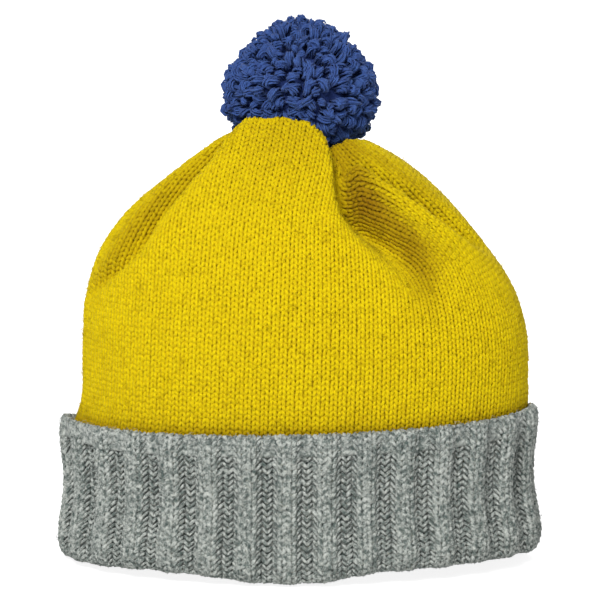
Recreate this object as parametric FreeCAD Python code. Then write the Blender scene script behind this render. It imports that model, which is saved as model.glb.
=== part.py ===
"""Knit beanie: a gathered stocking-stitch crown, a folded 2x2 rib band and a tied pompom.

Millimetres, +Z up, standing on the fold of its band. The origin is the middle of the opening on
the plane that the hat stands on. +X is the wearer's left, -Y the front, +Y the back seam.
Round the hat, angles are measured from the back seam: 0 back, 90 at +X, 180 front, 270 at -X.
"""
import FreeCAD
import Part
import math
import os

V = FreeCAD.Vector

# Driving dimensions ---------------------------------------------------------------------------
BAND_HALF_WIDTH = 100.3     # the face where inner layer and turn-up meet, half its width
BAND_HALF_DEPTH = 58.3      # and half its depth
RIB_REPEATS = 30            # knit 2, purl 2, thirty times round: 120 stitches
RIB_RELIEF = 1.9            # how far a knit rib's poles stand out of, and a purl groove's lie in, the face
INNER_LAYER = 3.4           # thickness of the band's inner layer
LAYER_GAP = 0.5             # air between inner layer and turn-up
SEAM_Z = 55.0               # top of the inner layer
TURN_UP_Z = 67.5            # top edge of the turn-up
TURN_UP_SLANT = 0.035       # the turn-up is folded higher at +X than at -X, by this share each way
TURN_UP_DROP = 0.10         # and lower at the back, by this share
BAND_WAIST = 1.3            # how far the band draws in at half its height
SEAM_HEIGHT = 2.0           # the linking chain between band and crown
CROWN_Z = SEAM_Z + SEAM_HEIGHT

CROWN_WALL = 2.6
EQUATOR_Z = 85.0            # height at which the crown is widest
CROWN_HALF_WIDTH = 98.9
CROWN_HALF_DEPTH = 58.6
SETTLED = (                 # height, how far the crown has settled towards +X there, how much wider it is
    (57.0, 0.0, 0.0), (71.0, 3.3, -0.7), (85.0, 3.6, -0.9), (100.0, 3.5, -0.3), (112.0, 2.3, 0.6), (124.0, 0.8, 0.9),
    (142.0, -2.4, 0.2), (160.0, -3.6, -0.7), (172.0, -2.9, -1.3), (182.0, -1.6, -1.8), (200.0, -1.4, -1.8),
)
RIM_CLIMB = math.radians(68.5)   # how far up the dome's ellipse its puckered rim lies
RIM_Z = {"front": 187.5, "left": 179.0, "right": 184.0, "back": 166.0}   # as seen from the front
LIP = (12.0, 22.0, 44.0)    # the front panel's lip: height above the rim, degrees left of the middle, half width
RIM_LEAN = 5.0              # how far the rim's centre lies behind the band's
GATHER = V(2.0, 15.0, 163.0)     # middle of the closed top, at the bottom of the gathered neck
GATHER_RADIUS = 6.0
NECK = 9.0                  # height of the gathered neck

DRAWSTRING = 2.4            # diameter of the gathering yarn
TAIL = 1.9                  # diameter of one tail of the pompom's tie
KNOT_YARN = 2.2
KNOT_DROP = 8.6             # the knot's middle below that point
BELOW_PIVOT = 4.8           # how far the twisted tails reach below the point they rock on
PIVOT = GATHER + V(0, 0, 3.0)    # the pompom rocks where its tie passes the gather

POMPOM = V(1.3, 19.0, 203.0)
POMPOM_CORE = 29.2          # the hollows between tufts lie on a ball of this radius
TUFT_REACH = 33.4           # and the tuft ends on one of this
TUFT_RADIUS = 5.0
TUFT_CAP = 2.4              # radius of the disc that closes each end of the ball
TUFTS = 96
SWAY = 8.0                  # degrees that the pompom tips to each side
NOD_BACK = 16.0             # degrees that it tips back, away from the front panel's lip
NOD_FORWARD = 2.0
SEAT_RADIUS = TUFT_REACH + 0.9   # the crown makes a cup that clears the ball over its whole travel

COLUMNS = 140               # poles round the crown
# Pleats that the gather draws in, each as stations up its valley: share of the way up (0 the equator, 1 the
# rim), degrees from the front towards +X, how far it reaches towards -X and towards +X in degrees, depth.
PLEATS = (
    ((0.27, -80, 9, 6, 0), (0.32, -72, 9, 6, 3), (0.37, -63, 9, 6, 6), (0.42, -56, 9, 6, 8), (0.49, -52.5, 10, 6, 10),
     (0.56, -50, 10, 6, 11), (0.66, -46.5, 10, 6, 12), (0.78, -44, 10, 6, 12), (0.91, -43.5, 10, 5.5, 11), (1.05, -45, 10, 6, 7)),
    ((0.24, 35, 8, 8, 0), (0.32, 37.5, 8, 7, 2.5), (0.39, 37.5, 9, 6, 5), (0.48, 35, 10, 6, 9.5), (0.54, 31.5, 10, 5.5, 13.5),
     (0.60, 28, 8.5, 5.5, 16.5), (0.65, 25.5, 6.5, 5, 18), (0.72, 23.5, 5, 4.5, 17), (0.82, 24, 4.5, 4.5, 14), (0.95, 25, 4, 5, 11), (1.05, 24, 5, 7, 7)),
    ((0.42, 82, 5, 9, 0), (0.49, 72, 4.5, 9, 3), (0.56, 64.5, 4.5, 9, 6), (0.61, 60, 4.5, 9, 7.5), (0.65, 55.5, 4.5, 9, 8.5), (0.70, 50.5, 4, 9, 9),
     (0.75, 44.5, 4, 8, 10), (0.81, 37.5, 3.5, 7, 10), (0.89, 32, 3.5, 6, 8), (0.97, 32, 3.5, 7, 5), (1.05, 32, 4, 8, 3)),
    ((0.46, 112, 5, 10, 0), (0.66, 109, 5, 10, 6), (0.90, 106, 5, 10, 8), (1.05, 106, 5, 10, 6)),
    ((0.42, 146, 11, 6, 0), (0.62, 147, 11, 6, 7), (0.85, 148, 11, 6, 9), (1.05, 148, 11, 6, 6)),
    ((0.46, 188, 5, 10, 0), (0.70, 187, 5, 10, 6), (0.90, 186, 5, 10, 7), (1.05, 186, 5, 10, 5)),
    ((0.42, 220, 11, 6, 0), (0.65, 221, 11, 6, 7), (0.90, 222, 11, 6, 8), (1.05, 222, 11, 6, 5)),
    ((0.48, 256, 5, 9, 0), (0.70, 257, 5, 9, 6), (0.90, 258, 5, 9, 7), (1.05, 258, 5, 9, 5)),
)
CREST, OVERHANG = 0.6, 0.7  # shares of a pleat's depth: how high its crest stands, how far that leans over the valley

FULL_TURN = 2.0 * math.pi


# Surfaces -------------------------------------------------------------------------------------
def skin(rows):
    """A smooth closed-round surface over rings of poles, cubic both ways, as one face."""
    around, along = len(rows[0]), len(rows)
    poles = [[row[i] for row in rows] for i in range(around)]
    surface = Part.BSplineSurface()
    surface.buildFromPolesMultsKnots(
        poles,
        [1] * (around + 1), [4] + [1] * (along - 4) + [4],
        [float(i) for i in range(around + 1)], [float(i) for i in range(along - 2)],
        True, False, 3, 3,
    )
    return surface.toShape()


def ring_edge(face, z):
    """The rim edge of a skin that lies in the plane at this height."""
    for edge in face.Edges:
        box = edge.BoundBox
        if abs(box.ZMin - z) < 1e-4 and abs(box.ZMax - z) < 1e-4:
            return edge
    raise RuntimeError("no ring edge at z = %g" % z)


def flat_ring(outer_face, inner_face, z):
    """The flat annulus that closes two skins which end at the same height."""
    wires = [Part.Wire([ring_edge(face, z)]) for face in (outer_face, inner_face)]
    return Part.makeFace(wires, "Part::FaceMakerBullseye")


def flat_ring_of(face, z):
    """The same, where both rings are the two ends of one skin."""
    rings = []
    for edge in face.Edges:
        box = edge.BoundBox
        if abs(box.ZMin - z) < 1e-4 and abs(box.ZMax - z) < 1e-4:
            rings.append(Part.Wire([edge]))
    return Part.makeFace(rings, "Part::FaceMakerBullseye")


def closed_solid(faces):
    """Faces sewn into one outward-facing solid."""
    shell = Part.makeShell(faces)
    shell.sewShape()
    solid = Part.makeSolid(Part.makeShell(shell.Faces))
    if solid.Volume < 0:
        solid.reverse()
    return solid


def yarn_tube(path, radius, closed=False, sides=6):
    """A round yarn along a list of points, with flat cut ends unless it is closed."""
    count = len(path)
    pole_radius = radius * 3.0 / (2.0 + math.cos(FULL_TURN / sides))
    rows = []
    side = V(0.31, 0.22, 0.93)
    for i in range(count):
        ahead = path[(i + 1) % count] if closed or i < count - 1 else path[i]
        behind = path[i - 1] if closed or i > 0 else path[i]
        tangent = (ahead - behind).normalize()
        side = (side - tangent * side.dot(tangent)).normalize()
        other = tangent.cross(side)
        rows.append([
            path[i] + side * (pole_radius * math.cos(FULL_TURN * k / sides))
            + other * (pole_radius * math.sin(FULL_TURN * k / sides))
            for k in range(sides)
        ])
    if not closed:
        tube = skin(rows)
        ends = []
        for edge in tube.Edges:
            if edge.isClosed():
                ends.append(Part.Face(Part.Wire([edge])))
        return closed_solid([tube] + ends)
    surface = Part.BSplineSurface()
    surface.buildFromPolesMultsKnots(
        [[row[i] for row in rows] for i in range(sides)],
        [1] * (sides + 1), [1] * (count + 1),
        [float(i) for i in range(sides + 1)], [float(i) for i in range(count + 1)],
        True, True, 3, 3,
    )
    return closed_solid([surface.toShape()])


def ease(x):
    """0 below 0, 1 above 1 and a smooth step between."""
    x = min(1.0, max(0.0, x))
    return x * x * (3.0 - 2.0 * x)


# Band -----------------------------------------------------------------------------------------
def even_angles(count, half_width, half_depth):
    """Angles that divide an ellipse into equal lengths of arc, from the back seam round."""
    steps = 2880
    lengths = [0.0]
    for i in range(steps):
        angle = FULL_TURN * (i + 0.5) / steps
        lengths.append(lengths[-1] + math.hypot(half_width * math.cos(angle), half_depth * math.sin(angle)))
    angles, j = [], 0
    for i in range(count):
        target = lengths[-1] * i / count
        while lengths[j + 1] < target:
            j += 1
        share = (target - lengths[j]) / (lengths[j + 1] - lengths[j])
        angles.append(FULL_TURN * (j + share) / steps)
    return angles


BAND_ANGLES = even_angles(4 * RIB_REPEATS, BAND_HALF_WIDTH, BAND_HALF_DEPTH)


def waist(z):
    """How far the band draws in at a height."""
    return BAND_WAIST * math.exp(-((z - 36.0) / 17.0) ** 2)


def band_ring(out, z, relief):
    """Poles round the band at a distance out from the meeting face, with ribs of a share of the relief."""
    ring = []
    folded = ease(out - 0.5)
    for i, angle in enumerate(BAND_ANGLES):
        s, c = math.sin(angle), math.cos(angle)
        normal = V(s / BAND_HALF_WIDTH, c / BAND_HALF_DEPTH, 0).normalize()
        wave = math.cos(FULL_TURN * (i + 0.5) / 4.0) * math.sqrt(2.0)
        rise = 1.0 + folded * (TURN_UP_SLANT * s - TURN_UP_DROP * ease((c + 0.15) / 0.7))
        place = V(BAND_HALF_WIDTH * s, BAND_HALF_DEPTH * c, z * rise)
        ring.append(place + normal * (out - waist(z) + RIB_RELIEF * relief * wave))
    return ring


def rib_band():
    """One knitted band, folded up on itself: inner layer, rounded fold and ribbed turn-up."""
    turn_up = [  # distance out, height, share of rib relief: up the outside, over the edge and down the gap
        (2.2, 0.0, 0.2), (4.6, 0.6, 0.35), (6.3, 4.0, 0.6), (6.9, 11.0, 0.9), (5.9, 20.0, 1.0),
        (4.5, 31.0, 1.0), (4.0, 43.0, 1.0), (4.6, 54.0, 1.0), (5.3, 62.0, 0.8),
        (5.2, 66.8, 0.5), (3.9, TURN_UP_Z + 0.7, 0.3), (2.4, TURN_UP_Z, 0.1), (1.7, 64.0, 0.0),
        (1.0, 58.0, 0.0), (LAYER_GAP, 44.0, 0.0), (LAYER_GAP, 12.0, 0.0), (LAYER_GAP, 7.0, 0.0),
        (0.2, 5.0, 0.0), (0.0, 7.0, 0.0), (0.0, 14.0, 0.0), (0.0, 44.0, 0.0), (0.0, SEAM_Z, 0.0),
    ]
    inside = [  # down the inside of the inner layer to the fold
        (-INNER_LAYER, SEAM_Z, 0.0), (-INNER_LAYER, 50.0, 0.3), (-INNER_LAYER, 42.0, 0.6),
        (-INNER_LAYER, 26.0, 0.6), (-INNER_LAYER, 10.0, 0.5), (-2.6, 2.5, 0.3), (-0.4, 0.0, 0.2),
    ]
    outer = skin([band_ring(*row) for row in turn_up])
    inner = skin([band_ring(*row) for row in inside])
    foot = flat_ring(outer, inner, 0.0)
    top = flat_ring(outer, inner, SEAM_Z)
    return closed_solid([outer, inner, foot, top])


def joining_seam():
    """The linking chain that joins the band's inner layer to the crown, a ridge on the inside."""
    lift = SEAM_HEIGHT / 3.0
    heights = [SEAM_Z, SEAM_Z + lift, CROWN_Z - lift, CROWN_Z]
    outer = skin([band_ring(out, z, 0.0) for out, z in zip((-0.2, 0.0, 0.0, -0.2), heights)])
    inner = skin([band_ring(out, z, 0.0) for out, z in zip((-2.8, -4.4, -4.4, -2.8), heights)])
    return closed_solid([outer, inner, flat_ring(outer, inner, SEAM_Z), flat_ring(outer, inner, CROWN_Z)])


# Crown ----------------------------------------------------------------------------------------
def rim_height(angle):
    """Height of the puckered rim: low at the back, with a broad lip left of the middle in front."""
    side = (RIM_Z["left"] + RIM_Z["right"]) / 2.0
    tilt = (RIM_Z["back"] - RIM_Z["front"]) / 2.0
    saddle = ((RIM_Z["front"] + RIM_Z["back"]) / 2.0 - side) / 2.0
    roll = (RIM_Z["right"] - RIM_Z["left"]) / 2.0
    lift, left, half_width = LIP
    away = turn_between(180.0 - math.degrees(angle), -left) / half_width
    return (
        side + saddle + tilt * math.cos(angle) + saddle * math.cos(2.0 * angle)
        + roll * math.sin(angle) + lift * math.exp(-away ** 4)
    )


def turn_between(degrees, middle):
    """The signed angle from middle to an angle, the short way round."""
    return (degrees - middle + 180.0) % 360.0 - 180.0


def settled(z):
    """How far the crown has settled sideways at a height, and how much wider than an ellipse it is: a cubic through SETTLED's stations, as steep at each as the line between its neighbours."""
    last = len(SETTLED) - 1
    i = sum(1 for station in SETTLED[1:last] if z > station[0])
    low, high = SETTLED[i], SETTLED[i + 1]
    run = high[0] - low[0]
    t = min(1.0, max(0.0, (z - low[0]) / run))
    before, after = SETTLED[max(i - 1, 0)], SETTLED[min(i + 2, last)]
    values = []
    for column in (1, 2):
        start = (high[column] - before[column]) / (high[0] - before[0])
        end = (after[column] - low[column]) / (after[0] - low[0])
        values.append((1 + 2 * t) * (1 - t) ** 2 * low[column] + t * t * (3 - 2 * t) * high[column]
                      + run * t * (1 - t) * ((1 - t) * start - t * end))
    return values


def body_point(angle, share):
    """A point of the unpleated crown: share -1 its base, 0 its equator, 1 its rim."""
    climb = RIM_CLIMB * max(share, 0.0)
    below = max(-share, 0.0)
    up = math.sin(climb) / math.sin(RIM_CLIMB)
    z = EQUATOR_Z + (rim_height(angle) - EQUATOR_Z) * up - (EQUATOR_Z - CROWN_Z) * below
    width = CROWN_HALF_WIDTH * math.cos(climb) + (BAND_HALF_WIDTH - 0.5 - CROWN_HALF_WIDTH) * below ** 2
    depth = CROWN_HALF_DEPTH * math.cos(climb) + (BAND_HALF_DEPTH - 0.5 - CROWN_HALF_DEPTH) * below ** 2
    aside, wider = settled(z)
    return V(aside + (width + wider) * math.sin(angle), RIM_LEAN * up * up + depth * math.cos(angle), z)


def crater_point(angle, share):
    """A point from the rim, share 0, down to the foot of the gathered neck, 1, on a Bezier arc."""
    rim = body_point(angle, 1.0)
    onward = (rim - body_point(angle, 0.98)).normalize()
    foot = GATHER + V(math.sin(angle), math.cos(angle), 0) * GATHER_RADIUS
    points = (rim, rim + onward * 9.0, foot + V(0, 0, NECK), foot)
    weights = ((1 - share) ** 3, 3 * share * (1 - share) ** 2, 3 * share ** 2 * (1 - share), share ** 3)
    total = V(0, 0, 0)
    for point, weight in zip(points, weights):
        total = total + point * weight
    return total


def smooth_crown(angle, share):
    """The unpleated crown from its base, share -1, over its rim, 1, to its gather, 2."""
    if share <= 1.0:
        return body_point(angle, share)
    return crater_point(angle, share - 1.0)


def pompom_places():
    """Where the pompom's middle goes as it tips to the ends of its two motions and between them."""
    places = []
    for nod in (-NOD_BACK, (NOD_FORWARD - NOD_BACK) / 2.0, NOD_FORWARD):
        for sway in (-SWAY, 0.0, SWAY):
            tip = FreeCAD.Rotation(V(0, 1, 0), sway).multiply(FreeCAD.Rotation(V(1, 0, 0), nod))
            places.append(PIVOT + tip.multVec(POMPOM - PIVOT))
    return places


SEATS = pompom_places()


def seated(point):
    """The point, moved off the ball that the pompom sweeps."""
    for _ in range(2):
        for middle in SEATS:
            away = point - middle
            if away.Length < SEAT_RADIUS:
                point = middle + away * (SEAT_RADIUS / away.Length)
    return point


def between(stations, share, column):
    """One column of a table of stations at a share of the way up, straight between two and level beyond the ends."""
    if share <= stations[0][0]:
        return stations[0][column]
    for low, high in zip(stations, stations[1:]):
        if share <= high[0]:
            return low[column] + (high[column] - low[column]) * (share - low[0]) / (high[0] - low[0])
    return stations[-1][column]


def pleated(angle, share):
    """How deep a point sinks into the pleats and how far it moves round, towards +X."""
    from_front = 180.0 - math.degrees(angle)
    deep = sideways = 0.0
    for stations in PLEATS:
        middle, left, right, depth = (between(stations, share, column) for column in (1, 2, 3, 4))
        depth *= ease((1.9 - share) / 0.8)
        away = turn_between(from_front, middle)
        x = away / (left if away < 0 else right)
        lean = (right - left) / (right + left)
        crest_x = x if lean > 0 else -x
        deep += depth * (math.exp(-abs(x) ** 3) - CREST * abs(lean) * math.exp(-((crest_x + 2.1) / 1.1) ** 2))
        sideways += OVERHANG * lean * depth * math.exp(-((crest_x + 1.2) / 0.9) ** 2)
    return deep, sideways


def crown_point(angle, share):
    """A point of the pleated crown: pleats sink into the dome, and notch its rim and crater downwards."""
    step = 0.01
    point = smooth_crown(angle, share)
    round_way = smooth_crown(angle + step, share) - smooth_crown(angle - step, share)
    side = min(max(share, -1.0 + step), 1.0 - step)
    up_way = body_point(angle, side + step) - body_point(angle, side - step)
    inward = round_way.cross(up_way).normalize()
    if inward.x * point.x + inward.y * point.y > 0:
        inward = inward * -1.0
    round_way.normalize()
    turn = ease((share - 0.5) / 0.5)
    sink = (inward * (1.0 - turn) + V(0, 0, -turn)).normalize()
    deep, sideways = pleated(angle, share)
    moved = point + sink * deep - round_way * sideways
    near = ease((share - 0.85) / 0.1)
    return moved + (seated(moved) - moved) * near if near else moved


def crown_rows():
    """Rings of poles up the outside of the crown, from its base over its rim to the foot of the neck."""
    angles = even_angles(COLUMNS, CROWN_HALF_WIDTH, CROWN_HALF_DEPTH)
    shares = [-1.0, -0.9, -0.6, -0.3]
    shares += [i / 16.0 for i in range(16)]
    shares += [1.0 + i / 8.0 for i in range(9)]
    return [[crown_point(angle, share) for angle in angles] for share in shares]


def offset_rows(rows, distance):
    """The same rings moved inwards along the surface's normals."""
    count, last = len(rows[0]), len(rows) - 1
    moved = []
    for j, row in enumerate(rows):
        above, below = rows[min(j + 1, last)], rows[max(j - 1, 0)]
        ring = []
        for i, point in enumerate(row):
            round_way = row[(i + 1) % count] - row[i - 1]
            up_way = above[i] - below[i]
            outward = round_way.cross(up_way) * -1.0
            ring.append(point - outward.normalize() * distance)
        moved.append(ring)
    return moved


def crown():
    """The stocking-stitch tube: upright sides, a dome drawn into pleats and a gathered neck."""
    outside = crown_rows()
    inside = offset_rows(outside, CROWN_WALL)
    for ring in inside[:1]:
        for point in ring:
            point.z = CROWN_Z
    lip = [a * 0.5 + b * 0.5 + V(0, 0, -0.9) for a, b in zip(outside[-1], inside[-1])]
    wall = skin(outside + [lip] + inside[::-1])
    return closed_solid([wall, flat_ring_of(wall, CROWN_Z)])


def seam_stitches(places, length, radius):
    """Short bars of sewing yarn across the back seam, one solid each."""
    bars = []
    for place in places:
        start = place - V(length / 2.0, 0, 0.5)
        run = V(length, 0, 1.0)
        bars.append(Part.makeCylinder(radius, run.Length, start, run))
    return Part.makeCompound(bars)


def crown_back_seam():
    """Mattress stitches up the inside of the crown's back seam."""
    inside = offset_rows(crown_rows(), CROWN_WALL)
    meridian = [row[0] for row in inside[1:17]]
    path = Part.BSplineCurve()
    path.interpolate(meridian)
    points = path.toShape().discretize(30)
    return seam_stitches(points[1:-1], 3.2, 0.8)


def band_back_seam():
    """Mattress stitches up the inside of the band's back seam."""
    y = BAND_HALF_DEPTH - INNER_LAYER - 0.2
    heights = [8.0 + 4.4 * i for i in range(10)]
    return seam_stitches([V(0, y - waist(z), z) for z in heights], 3.6, 0.9)


# Gather and tie -------------------------------------------------------------------------------
def gather_yarn():
    """The drawstring: one turn of yarn woven in and out of the crown's last stitches."""
    steps, waves = 40, 10
    radius = GATHER_RADIUS + CROWN_WALL / 2.0
    path = []
    for i in range(steps):
        turn = FULL_TURN * i / steps
        sway = radius + 0.9 * math.cos(waves * turn)
        path.append(GATHER + V(sway * math.sin(turn), sway * math.cos(turn), 2.6 + 0.5 * math.sin(waves * turn)))
    return yarn_tube(path, DRAWSTRING / 2.0, closed=True)


def tails_knot():
    """The knot that the pompom's tails are tied into under the gather: a trefoil of yarn."""
    steps, size = 36, 1.75
    path = []
    for i in range(steps):
        t = FULL_TURN * i / steps
        path.append(PIVOT + V(
            size * (math.sin(t) + 2.0 * math.sin(2.0 * t)),
            size * (math.cos(t) - 2.0 * math.cos(2.0 * t)),
            -KNOT_DROP - 1.15 * size * math.sin(3.0 * t),
        ))
    return yarn_tube(path, KNOT_YARN / 2.0, closed=True)


def tie_axis():
    """Unit vector from the pivot to the pompom's middle."""
    return (POMPOM - PIVOT).normalize()


def pompom_tails():
    """The tie's two tails, twisted together, from the binding down through the gather."""
    axis = tie_axis()
    side = V(1, 0, 0)
    other = axis.cross(side)
    length, pitch, steps = (POMPOM - PIVOT).Length + BELOW_PIVOT, 13.0, 22
    tails = []
    for phase in (0.0, math.pi):
        path = []
        for i in range(steps + 1):
            run = length * i / steps
            turn = FULL_TURN * run / pitch + phase
            spread = TAIL / 2.0 + 0.12
            path.append(
                PIVOT + axis * (run - BELOW_PIVOT)
                + side * (spread * math.cos(turn)) + other * (spread * math.sin(turn))
            )
        tails.append(yarn_tube(path, TAIL / 2.0))
    return Part.makeCompound(tails)


def pompom_binding():
    """Three tight turns of yarn round the waist of the strands, at the pompom's middle."""
    axis = tie_axis()
    side = V(1, 0, 0)
    other = axis.cross(side)
    steps, turns, radius, rise = 42, 3, 4.2, 2.1
    path = []
    for i in range(steps + 1):
        turn = FULL_TURN * turns * i / steps
        path.append(
            POMPOM + side * (rise * (turn / FULL_TURN - turns / 2.0))
            + other * (radius * math.cos(turn)) + axis * (radius * math.sin(turn))
        )
    return yarn_tube(path, TAIL / 2.0)


# Pompom ---------------------------------------------------------------------------------------
def tuft_ways():
    """Directions of the tuft ends, spread evenly over the ball by the golden angle."""
    golden = math.pi * (3.0 - math.sqrt(5.0))
    ways = []
    for i in range(TUFTS):
        height = 1.0 - 2.0 * (i + 0.5) / TUFTS
        flat = math.sqrt(1.0 - height * height)
        ways.append(V(flat * math.cos(golden * i), flat * math.sin(golden * i), height))
    return ways


def pompom_tufts():
    """The trimmed ball of yarn ends: one skin, domed at each tuft, closed by a small disc at each end."""
    columns, rings = 66, 32
    ways = tuft_ways()
    cap = TUFT_CAP / TUFT_REACH
    rows = []
    for j in range(rings):
        tilt = -math.pi / 2.0 + cap + (math.pi - 2.0 * cap) * j / (rings - 1.0)
        ring = []
        for i in range(columns):
            turn = FULL_TURN * i / columns
            way = V(math.cos(tilt) * math.cos(turn), math.cos(tilt) * math.sin(turn), math.sin(tilt))
            off = min(way.getAngle(tuft) for tuft in ways) * TUFT_REACH / TUFT_RADIUS
            swell = math.exp(-off * off)
            ring.append(POMPOM + way * (POMPOM_CORE + (TUFT_REACH - POMPOM_CORE) * swell))
        rows.append(ring)
    for row in (rows[0], rows[-1]):
        level = sum(point.z for point in row) / columns
        for point in row:
            point.z = level
    ball = skin(rows)
    ends = [Part.Face(Part.Wire([ring_edge(ball, row[0].z)])) for row in (rows[0], rows[-1])]
    return closed_solid([ball] + ends)


# Write ----------------------------------------------------------------------------------------
NODES = {
    "rib_band": rib_band,
    "joining_seam": joining_seam,
    "crown": crown,
    "crown_back_seam": crown_back_seam,
    "band_back_seam": band_back_seam,
    "gather_yarn": gather_yarn,
    "tails_knot": tails_knot,
    "pompom_tails": pompom_tails,
    "pompom_binding": pompom_binding,
    "pompom_tufts": pompom_tufts,
}

if __name__ == "__main__":
    os.makedirs("parts", exist_ok=True)
    for name, make in NODES.items():
        shape = make()
        print("%-16s solids %3d valid %s volume %.0f mm3" % (name, len(shape.Solids), shape.isValid(), shape.Volume))
        shape.exportStep("parts/%s.step" % name)
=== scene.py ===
import bpy
import numpy as np
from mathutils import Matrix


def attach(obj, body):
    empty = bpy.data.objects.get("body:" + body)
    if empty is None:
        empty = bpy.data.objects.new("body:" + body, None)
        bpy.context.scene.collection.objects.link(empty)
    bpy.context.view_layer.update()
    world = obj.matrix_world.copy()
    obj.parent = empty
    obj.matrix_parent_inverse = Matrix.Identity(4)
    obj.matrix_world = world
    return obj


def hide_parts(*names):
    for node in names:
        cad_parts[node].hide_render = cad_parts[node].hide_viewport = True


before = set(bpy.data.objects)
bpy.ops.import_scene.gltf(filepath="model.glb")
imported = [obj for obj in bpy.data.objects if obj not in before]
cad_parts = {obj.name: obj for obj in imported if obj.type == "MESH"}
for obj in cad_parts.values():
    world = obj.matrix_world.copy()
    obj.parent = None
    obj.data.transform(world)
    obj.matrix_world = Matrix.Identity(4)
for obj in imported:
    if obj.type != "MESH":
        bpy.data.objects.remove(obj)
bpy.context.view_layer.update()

# A knit beanie standing on the fold of its band. Metres, or mm where it is said so, +Z up, -Y the front.
# Round the hat, angles are measured from the back seam: 0 back, 90 at +X, 180 front.


# ---- Table and light ------------------------------------------------------------------------
# The hat stands on white paper under a big soft lamp, high on the left in front, with a weak
# lamp on the right and one behind. The camera looks at its front from 10 degrees up with a long lens.
LAMPS = {      # place, size, watts
    "key_lamp": ((-0.45, -1.68, 1.5), 0.8, 48.0),
    "fill_lamp": ((1.7, -1.5, 0.9), 1.2, 4.0),
    "back_lamp": ((0.3, 1.7, 0.9), 1.0, 20.0),
}
LIT_POINT = (0, 0, 0.10)
LOOKED_AT, CAMERA_RISE, CAMERA_DISTANCE, CAMERA_LENS = (0.0013, 0, 0.1158), np.radians(10.0), 2.4, 327.0
PAPER_HALF, PAPER_GLOW = 4, 0.88
PAPER_TO_HAT, PAPER_TO_EYE = (0.86, 0.86, 0.86, 1), (0.42, 0.42, 0.42, 1)      # to the eye it glows as well


def placed(name, data, place=(0, 0, 0), turn=(0, 0, 0)):
    """An object of the scene at a place, turned by angles about X, Y and Z."""
    made = bpy.data.objects.new(name, data)
    made.location, made.rotation_euler = place, turn
    bpy.context.collection.objects.link(made)
    return made


for name, (place, size, watts) in LAMPS.items():
    light = bpy.data.lights.new(name, "AREA")
    light.size, light.energy = size, watts
    x, y, z = np.subtract(LIT_POINT, place)
    placed(name, light, place, (np.arctan2(np.hypot(x, y), -z), 0, np.arctan2(-x, y)))

camera = bpy.data.cameras.new("camera")
camera.lens, camera.sensor_width, camera.clip_end = CAMERA_LENS, 36.0, 30.0
away = CAMERA_DISTANCE * np.array([0, -np.cos(CAMERA_RISE), np.sin(CAMERA_RISE)])
bpy.context.scene.camera = placed("camera", camera, LOOKED_AT + away, (np.pi / 2 - CAMERA_RISE, 0, 0))
bpy.context.scene.view_settings.view_transform = "Standard"


def wire(node, inputs):
    """Sets a node's inputs, by name or number, to values or to other nodes' outputs."""
    for key, value in inputs.items():
        if isinstance(value, bpy.types.NodeSocket):
            node.id_data.links.new(value, node.inputs[key])
        else:
            node.inputs[key].default_value = value


def output_of(tree, kind, inputs=None, out=0, **settings):
    """An output, by name or number, of a new shader node with these inputs and settings."""
    made = tree.nodes.new("ShaderNode" + kind)
    for key, value in settings.items():
        setattr(made, key, value)
    wire(made, inputs or {})
    return made.outputs[out]


def math(tree, operation, *values):
    """The output of a new math node."""
    return output_of(tree, "Math", dict(enumerate(values)), operation=operation)


def seen_rays(tree):
    """1 on rays that see a surface, straight, mirrored or through glass, 0 on those that gather its light."""
    seen = output_of(tree, "LightPath", out="Is Camera Ray")
    for kind in ("Is Glossy Ray", "Is Transmission Ray"):
        seen = math(tree, "MAXIMUM", seen, output_of(tree, "LightPath", out=kind))
    return seen


paper = bpy.data.materials.new("white_paper")
paper.use_nodes = True
tree, seen = paper.node_tree, seen_rays(paper.node_tree)
shade = {"Factor": seen, "A": PAPER_TO_HAT, "B": PAPER_TO_EYE}
shade = output_of(tree, "Mix", shade, "Result", data_type="RGBA")
wire(tree.nodes["Principled BSDF"], {
    "Base Color": shade, "Roughness": 0.9, "Specular IOR Level": 0.1,
    "Emission Color": (1, 1, 1, 1), "Emission Strength": math(tree, "MULTIPLY", seen, PAPER_GLOW),
})

table = bpy.data.meshes.new("table")
corners = ((-1, -1), (1, -1), (1, 1), (-1, 1))
table.from_pydata([(x * PAPER_HALF, y * PAPER_HALF, 0) for x, y in corners], [], [(0, 1, 2, 3)])
table.materials.append(paper)
placed("table", table)

world = bpy.data.worlds.new("room")
world.use_nodes = True
tree = world.node_tree
strength = output_of(tree, "MapRange", {"Value": seen_rays(tree), "To Min": 0.25, "To Max": 1.0})
wire(tree.nodes["Background"], {"Color": (1, 1, 1, 1), "Strength": strength})
bpy.context.scene.world = world


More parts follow.
